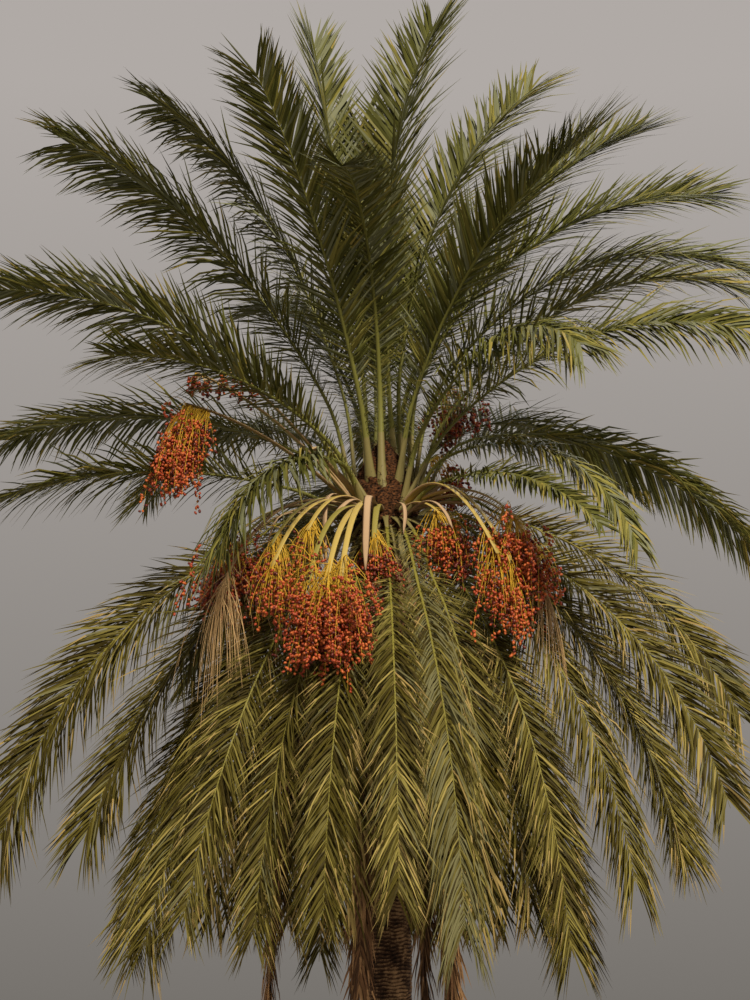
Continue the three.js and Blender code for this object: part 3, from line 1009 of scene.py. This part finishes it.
# How much they point outward, what chance adds sideways, and the mean and spread upward
WISP_OUTWARD = 0.35
WISP_SIDEWAYS = 0.9
WISP_UPWARD = (0.2, 0.5)
# How thick a thread still is at its end, a direction that hardly any runs in, and a section
THREAD_TIP = 0.35
THREAD_ASIDE = np.array([0.3, 1, 0.2])
TRIANGLE = [(math.cos(a), math.sin(a)) for a in (0.5, 2.6, 4.7)]


def threads_along(name, middles, radius, shades=None):
    """Joins thin threads of a three-sided section that taper to their ends."""
    count, stations = middles.shape[:2]
    flat, rise = sides_along(middles, THREAD_ASIDE)
    taper = radius * np.linspace(1, THREAD_TIP, stations)[None, :, None]
    points = swept(middles, flat * taper, rise * taper, TRIANGLE)
    return joined(name, points, swept_faces(stations, len(TRIANGLE)), shades)


turn = seed.uniform(0, 2 * math.pi, WISPS)
height = seed.uniform(heart_low + WISP_MARGINS[0], heart_high - WISP_MARGINS[1], WISPS)
radius = np.interp(height, heart_levels[:, 0], heart_levels[:, 2]) - WISP_DEPTH
outward = np.stack([np.cos(turn), np.sin(turn), 0 * turn], axis=1)
around = np.cross(outward, DOWN)
foot = outward * radius[:, None]
foot[:, 0] += HEART_POINT.x
foot[:, 2] = height
sideways = seed.normal(0, WISP_SIDEWAYS, (WISPS, 1))
upward = seed.normal(*WISP_UPWARD, (WISPS, 1))
lean = outward * WISP_OUTWARD + around * sideways - DOWN * upward
t = np.linspace(0, 1, WISP_STATIONS)[None, :, None]
reach = WISP_LENGTH * seed.uniform(*WISP_LENGTH_LIMITS, (WISPS, 1, 1)) * t
middles = foot[:, None] + unit(lean)[:, None] * reach + DOWN * reach * t * WISP_DROOP
mesh = threads_along("heart_fibre_wisps", middles, WISP_RADIUS)
put_in_place(mesh, "heart_fibre_wisps", [fibre_material])


# Cut leaf feet: what is left of older leaf stalks, woody and sawn off, so that the end
# shows the pale inside.

# Each foot: azimuth, lift in degrees, length and half width
LEAF_FEET = [
    (225, 34, 0.92, 0.040),
    (322, 14, 0.60, 0.036),
    (15, 36, 0.55, 0.045),
    (74, 28, 0.50, 0.042),
    (128, 40, 0.62, 0.045),
    (176, 24, 0.45, 0.042),
]
FOOT_STATIONS = 7
# Reach and height of the point where a foot starts, its thickness for its width, and its
# width along it
FOOT_START = (0.12, 6.98)
FOOT_THICKNESS = 0.55
FOOT_SHARES = [0, 0.3, 1]
FOOT_TAPER = [1.5, 1.1, 0.8]

t = np.linspace(0, 1, FOOT_STATIONS)
middles = []
sizes = []
for azimuth, lift, length, half_width in LEAF_FEET:
    outward, upward = math.cos(math.radians(lift)), math.sin(math.radians(lift))
    reach, height = FOOT_START
    rows = [at_azimuth(azimuth, reach + length * s * outward, height + length * s * upward) for s in t]
    middles.append(rows)
    sizes.append(half_width * np.interp(t, FOOT_SHARES, FOOT_TAPER))
middles = np.array(middles)
sizes = np.array(sizes)[:, :, None]
flat, rise = sides_along(middles, -DOWN)
points = swept(middles, flat * sizes, rise * sizes * FOOT_THICKNESS, RIB_SECTION[::-1])
# The weathered sides are dull tan, and the sawn end is paler, like dry cork.
foot_materials = [
    skin_material("weathered_leaf_foot", "#8a7350", 0.8, 0.01, 0.2),
    skin_material("sawn_leaf_foot", "#b89d74", 0.9, 0.004, 0.1),
]
faces = swept_faces(FOOT_STATIONS, len(RIB_SECTION))
shades = np.zeros((len(LEAF_FEET), len(faces)), dtype=int)
shades[:, -1] = 1
mesh = joined("cut_leaf_feet", points, faces, shades)
put_in_place(mesh, "cut_leaf_feet", foot_materials)


# Bracts: the split papery sheaths that the date bunches grew out of. They have dried to
# tan, curled, and now hang over the stalks.

# Each bract: azimuth and reach of its crest, its height there, how far it then hangs down,
# half width and how many degrees its hanging end is turned about the trunk
BRACTS = [
    (262, 0.98, 6.97, 0.68, 0.040, 0),
    (236, 0.90, 7.02, 0.74, 0.036, 5),
    (246, 0.75, 7.00, 0.25, 0.030, -8),
    (303, 0.85, 6.98, 0.26, 0.026, 5),
    (292, 0.50, 7.00, 0.30, 0.028, -6),
    (12, 0.80, 6.95, 0.45, 0.032, 8),
    (62, 0.55, 7.00, 0.60, 0.034, -6),
    (105, 0.90, 6.93, 0.40, 0.032, 5),
    (150, 0.60, 7.00, 0.62, 0.036, -4),
    (192, 0.95, 6.95, 0.42, 0.030, 6),
]
# The points of a bract's line: share of its reach, and how much further out and higher it
# is; share of its drop and of its swing
BRACT_LINE = [
    (0, 0.2, -0.12, 0, 0),
    (0.7, 0, 0.02, 0, 0),
    (1, 0, 0, 0, 0),
    (1, 0.12, 0, 0.45, 0.5),
    (1, 0.16, 0, 1, 1),
]
BRACT_STATIONS = 17
BRACT_SECTION = [(-1, 0.25), (-0.5, 0.02), (0.5, 0.02), (1, 0.25), (0.5, -0.06), (-0.5, -0.06)]
BRACT_SHARES = [0, 0.3, 0.85, 1]
BRACT_TAPER = [0.7, 1, 0.9, 0.25]
# How many degrees chance curls its end
BRACT_CURL = 25

t = np.linspace(0, 1, BRACT_STATIONS)
middles = []
sizes = []
for azimuth, reach, height, drop, half_width, swing in BRACTS:
    rows = [
        at_azimuth(azimuth + swing * swung, reach * out + further, height + higher - drop * down)
        for out, further, higher, down, swung in BRACT_LINE
    ]
    middles.append(smooth_through(np.array(rows), BRACT_STATIONS))
    sizes.append(half_width * np.interp(t, BRACT_SHARES, BRACT_TAPER))
middles = np.array(middles)
sizes = np.array(sizes)[:, :, None]
along = unit(np.gradient(middles, axis=1))
azimuths = np.radians([row[0] for row in BRACTS])
flat = np.stack([-np.sin(azimuths), np.cos(azimuths), 0 * azimuths], axis=1)[:, None]
flat = unit(flat - along * (flat * along).sum(axis=2, keepdims=True))
curl = np.radians(seed.normal(0, BRACT_CURL, (len(BRACTS), 1, 1)) * t[None, :, None])
rise = np.cross(flat, along)
flat, rise = flat * np.cos(curl) + rise * np.sin(curl), rise * np.cos(curl) - flat * np.sin(curl)
points = swept(middles, flat * sizes, rise * sizes, BRACT_SECTION[::-1])
# A dry bract is papery, matt and a little pink.
bract_material = skin_material("papery_dry_bract", "#a68a6c", 0.85, 0.01, 0.15)
mesh = joined("dry_bracts", points, swept_faces(BRACT_STATIONS, len(BRACT_SECTION)))
put_in_place(mesh, "dry_bracts", [bract_material], smooth=True)


# Date bunches: a flat yellow stalk arches out from under the leaf stalks and ends in a
# brush of thin strands, and each strand carries ripe dates along its outer part.

# Each brush: azimuth, reach and height of its hub, lift of the stalk at its foot, strands,
# their length, how wide they fan out, dates on each, and which tint (2 is a spent one)
BUNCHES = [
    (207, 1.99, 7.84, 40, 80, 0.74, 0.15, 17, 0),
    (207, 1.99, 7.84, 40, 34, 0.38, 0.45, 8, 0),
    (204, 1.86, 8.16, 50, 16, 0.16, 0.5, 8, 1),
    (205, 1.50, 8.20, 52, 12, 0.20, 0.6, 6, 1),
    (50, 0.99, 8.35, 75, 46, 0.46, 0.32, 16, 1),
    (50, 0.79, 7.67, 65, 40, 0.50, 0.35, 16, 1),
    (205, 1.66, 6.49, 18, 40, 0.50, 0.45, 14, 1),
    (214, 1.60, 6.52, 22, 50, 0.52, 0.5, 14, 1),
    (228, 1.50, 6.50, 24, 46, 0.50, 0.45, 8, 1),
    (240, 1.35, 6.64, 26, 50, 0.62, 0.34, 3, 0),
    (236, 1.74, 6.27, 18, 50, 0.56, 0.36, 4, 0),
    (246, 1.62, 6.12, 10, 36, 0.62, 0.5, 12, 1),
    (254, 1.80, 6.08, 6, 100, 0.72, 0.56, 21, 0),
    (258, 1.78, 6.12, 12, 72, 0.74, 0.46, 20, 0),
    (265, 0.98, 6.60, 20, 40, 0.50, 0.45, 13, 1),
    (310, 0.78, 6.90, 34, 46, 0.50, 0.45, 7, 0),
    (318, 0.88, 6.80, 30, 36, 0.50, 0.5, 10, 1),
    (313, 1.66, 6.34, 44, 46, 0.70, 0.26, 13, 0),
    (309, 1.60, 6.42, 46, 22, 0.50, 0.34, 4, 0),
    (316, 1.66, 6.74, 28, 60, 0.50, 0.5, 15, 0),
    (322, 1.74, 6.50, 25, 44, 0.50, 0.45, 13, 0),
    (219, 1.89, 6.02, 20, 54, 0.85, 0.28, 0, 2),
    (326, 1.77, 6.04, 20, 40, 0.80, 0.28, 0, 2),
    (20, 1.40, 6.55, 25, 34, 0.60, 0.5, 12, 1),
    (80, 1.55, 6.40, 25, 38, 0.70, 0.45, 13, 0),
    (112, 1.45, 6.50, 28, 36, 0.65, 0.5, 12, 0),
    (140, 1.50, 6.40, 24, 34, 0.60, 0.5, 12, 1),
    (166, 1.50, 6.60, 28, 34, 0.60, 0.5, 12, 0),
]
SPENT = 2
# Reach and height of a stalk's foot, and how far along the way to the brush it bends
STALK_FOOT = (0.2, 6.95)
STALK_BEND = 0.6
STALK_STATIONS = 21
STALK_SHARES = [0, 0.4, 1]
STALK_HALF_WIDTHS = [0.042, 0.034, 0.024]
STALK_HALF_DEPTHS = [0.018, 0.014, 0.011]
# The faces of a stalk's section that are its corky edges
STALK_EDGES = (2, 7)
# Strands leave the last part of the stalk, partly along it and partly downward, and lose
# some of that heading on the way to their tips, while their load pulls them down more
STRANDS_FROM = 0.86
STRAND_FORWARD = 0.4
STRAND_DOWNWARD = 0.5
STRAND_YIELD = 0.6
STRAND_PULL = 1.5
PULL_POWER = 1.2
STRAND_STATIONS = 6
STRAND_RADIUS = 0.0043
STRAND_LENGTH_STRAY = 0.16
# Dates sit from this share of a strand to its tip. Each is held by its upper end, so that
# its middle is this share of its length away from the strand, and leans down by so much.
DATES_FROM = 0.58
DATE_SPACING_STRAY = 0.02
DATE_HOLD = 0.55
DATE_LEAN = 0.6
DATE_LENGTH = 0.043
DATE_RADIUS = 0.013
DATE_PLACE_STRAY = 0.017
DATE_SIZE_STRAY = 0.09

along_stalk = np.linspace(0, 1, STALK_STATIONS)
along_strand = np.linspace(0, 1, STRAND_STATIONS)


def stalk_line(azimuth, reach, height, lift):
    """Midline of a stalk that leaves the heart with a lift and arches over to its brush."""
    foot = np.array(at_azimuth(azimuth, *STALK_FOOT))
    hub = np.array(at_azimuth(azimuth, reach, height))
    bend = np.linalg.norm(hub - foot) * STALK_BEND
    slope = math.radians(lift)
    crest_reach = STALK_FOOT[0] + bend * math.cos(slope)
    crest_height = STALK_FOOT[1] + bend * math.sin(slope)
    crest = np.array(at_azimuth(azimuth, crest_reach, crest_height))
    s = along_stalk[:, None]
    return (1 - s) ** 2 * foot + 2 * s * (1 - s) * crest + s**2 * hub


def strand_paths(stalk, strands, strand_length, fan):
    """Midlines of the strands of one brush, from the stalk's end to their tips."""
    start = unit(stalk[-1] - stalk[-2]) * STRAND_FORWARD + DOWN * STRAND_DOWNWARD
    start = unit(start + seed.normal(0, fan, (strands, 3)))
    feet = points_on(stalk, seed.uniform(STRANDS_FROM, 1, strands))
    lengths = strand_length * seed.normal(1, STRAND_LENGTH_STRAY, strands)
    pull = (STRAND_PULL * along_strand**PULL_POWER)[None, :, None] * DOWN
    heading = unit(start[:, None] * (1 - STRAND_YIELD * along_strand)[None, :, None] + pull)
    steps = (lengths / (STRAND_STATIONS - 1))[:, None, None]
    paths = np.cumsum(heading[:, 1:] * steps, axis=1)
    return np.concatenate([np.zeros((strands, 1, 3)), paths], axis=1) + feet[:, None]


def dates_on(path, dates, tint_number):
    """A row of numbers for each date of a strand: its middle, its axis and its tint."""
    at = np.linspace(DATES_FROM, 1, dates) + seed.normal(0, DATE_SPACING_STRAY, dates)
    spot = points_on(path, np.clip(at, 0, 1))
    axis = unit(seed.normal(0, 1, (dates, 3)) + DOWN * DATE_LEAN)
    middle = spot + axis * (DATE_LENGTH * DATE_HOLD)
    middle = middle + seed.normal(0, DATE_PLACE_STRAY, (dates, 3))
    return np.hstack([middle, axis, np.full((dates, 1), tint_number)])


stalk_lines = []
stalk_shades = []
strand_lines = []
strand_shades = []
date_rows = []
for azimuth, reach, height, lift, strands, strand_length, fan, dates, tint_number in BUNCHES:
    stalk = stalk_line(azimuth, reach, height, lift)
    stalk_lines.append(stalk)
    stalk_shades.append(tint_number)
    paths = strand_paths(stalk, strands, strand_length, fan)
    strand_lines.append(paths)
    strand_shades.append(np.full(strands, int(tint_number == SPENT)))
    date_rows += [dates_on(path, dates, tint_number) for path in paths]

stalk_middles = np.array(stalk_lines)
flat, rise = sides_along(stalk_middles, -DOWN)
half_widths = np.interp(along_stalk, STALK_SHARES, STALK_HALF_WIDTHS)[None, :, None]
half_depths = np.interp(along_stalk, STALK_SHARES, STALK_HALF_DEPTHS)[None, :, None]
points = swept(stalk_middles, flat * half_widths, rise * half_depths, RIB_SECTION[::-1])
faces = swept_faces(STALK_STATIONS, len(RIB_SECTION))
# A full stalk is waxy and yellow or olive, a spent one has dried to tan, and the edges of
# all are corky: one for each tint, and the last for the edges.
stalk_materials = [
    skin_material("waxy_yellow_fruit_stalk", "#a8914e", 0.5, 0.01),
    skin_material("waxy_olive_fruit_stalk", "#857b3c", 0.5, 0.01),
    skin_material("spent_tan_fruit_stalk", "#94764f", 0.8, 0.01),
    skin_material("corky_fruit_stalk_edge", "#a0845f", 0.8, 0.01),
]
shades = np.repeat(np.array(stalk_shades)[:, None], len(faces), axis=1)
for k in STALK_EDGES:
    shades[:, k : -2 : len(RIB_SECTION)] = len(stalk_materials) - 1
mesh = joined("bunch_stalks", points, faces, shades)
put_in_place(mesh, "bunch_stalks", stalk_materials, smooth=True)

# Strands are bright yellow under their dates, and the colour of straw when they are spent.
strand_materials = [
    skin_material("yellow_fruit_strand", "#b58f2c", 0.55, 0.006),
    skin_material("spent_straw_strand", "#b09064", 0.8, 0.006),
]
strand_middles = np.concatenate(strand_lines)
mesh = threads_along("bunch_strands", strand_middles, STRAND_RADIUS, np.concatenate(strand_shades))
put_in_place(mesh, "bunch_strands", strand_materials)

# One ripe date is a blunt oval with a waxy, lightly wrinkled skin.
DATE_SHADES = {
    "ripe_orange_date": "#ad5524",
    "ripe_red_date": "#94391a",
    "very_ripe_dark_date": "#571d12",
}
date_materials = [skin_material(n, c, 0.45, 0.006, 0.4) for n, c in DATE_SHADES.items()]
# How often each shade is dealt in a bunch of either tint, and a direction that hardly any
# date points in
TINT_WEIGHTS = [[0.38, 0.44, 0.18], [0.1, 0.42, 0.48]]
DATE_ASIDE = np.array([0.4, 0.7, 0.6])
date_shape = bmesh.new()
bmesh.ops.create_icosphere(date_shape, subdivisions=1, radius=1)
date_points = np.array([v.co for v in date_shape.verts])
date_faces = [tuple(v.index for v in f.verts) for f in date_shape.faces]
date_shape.free()
rows = np.concatenate(date_rows)
axis = rows[:, 3:6]
flat = unit(np.cross(axis, DATE_ASIDE))
rise = np.cross(axis, flat)
size = seed.normal(1, DATE_SIZE_STRAY, (len(rows), 1, 1))
oval = (
    flat[:, None] * date_points[None, :, 0:1] * DATE_RADIUS
    + rise[:, None] * date_points[None, :, 1:2] * DATE_RADIUS
    + axis[:, None] * date_points[None, :, 2:3] * DATE_LENGTH / 2
)
points = rows[:, None, :3] + oval * size
dealt = np.array([seed.choice(len(DATE_SHADES), p=TINT_WEIGHTS[int(k)]) for k in rows[:, 6]])
near = rows[:, 1] < 0
left = rows[:, 0] < HEART_POINT.x
groups = {"dates_near_left": near & left, "dates_near_right": near & ~left, "dates_far": ~near}
for name, chosen in groups.items():
    mesh = joined(name, points[chosen], date_faces, dealt[chosen])
    put_in_place(mesh, name, date_materials, smooth=True)


# Studio: a plain floor, a grey surround that is lighter above, a low soft sun from the
# front and a faint wide light from behind.
FLOOR_RADIUS = 60
FLOOR_COLOUR = "#87837c"
# How high on the surround, as a share of straight up, and its colour there
SKY_TINTS = [(0.03, "#76726d"), (0.3, "#b0aaa6")]
# Each light: energy, width, colour and how it is turned, with the angles in degrees
LIGHTS = {
    "soft_sun": (5.0, 8, (1, 0.92, 0.76), (54, 0, 17)),
    "faint_light_from_behind": (1.1, 60, (0.88, 0.93, 1), (-52, 0, -25)),
}

floor = bmesh.new()
bmesh.ops.create_circle(floor, cap_ends=True, segments=96, radius=FLOOR_RADIUS)
floor_mesh = bpy.data.meshes.new("floor")
floor.to_mesh(floor_mesh)
floor.free()
floor_material, tree = new_material("pale_matt_floor")
shader = add_node(
    tree, "ShaderNodeBsdfPrincipled", {"Base Color": linear(FLOOR_COLOUR), "Roughness": 0.9}
)
add_node(tree, "ShaderNodeOutputMaterial", {"Surface": shader.outputs["BSDF"]})
floor_mesh.materials.append(floor_material)
floor_object = bpy.data.objects.new("floor", floor_mesh)
bpy.context.scene.collection.objects.link(floor_object)

world = bpy.data.worlds.new("surround")
world.use_nodes = True
tree = world.node_tree
background = tree.nodes["Background"]
place = add_node(tree, "ShaderNodeTexCoord").outputs["Generated"]
split = add_node(tree, "ShaderNodeSeparateXYZ", {"Vector": place})
sky = add_node(tree, "ShaderNodeValToRGB", {"Fac": split.outputs["Z"]})
for stop, (share, colour) in zip(sky.color_ramp.elements, SKY_TINTS):
    stop.position = share
    stop.color = linear(colour)
tree.links.new(sky.outputs["Color"], background.inputs["Color"])
bpy.context.scene.world = world

for name, (energy, angle, colour, turn) in LIGHTS.items():
    light = bpy.data.lights.new(name, "SUN")
    light.energy = energy
    light.angle = math.radians(angle)
    light.color = colour
    lamp = bpy.data.objects.new(name, light)
    lamp.rotation_euler = [math.radians(a) for a in turn]
    bpy.context.scene.collection.objects.link(lamp)

bpy.context.scene.view_settings.view_transform = "Standard"
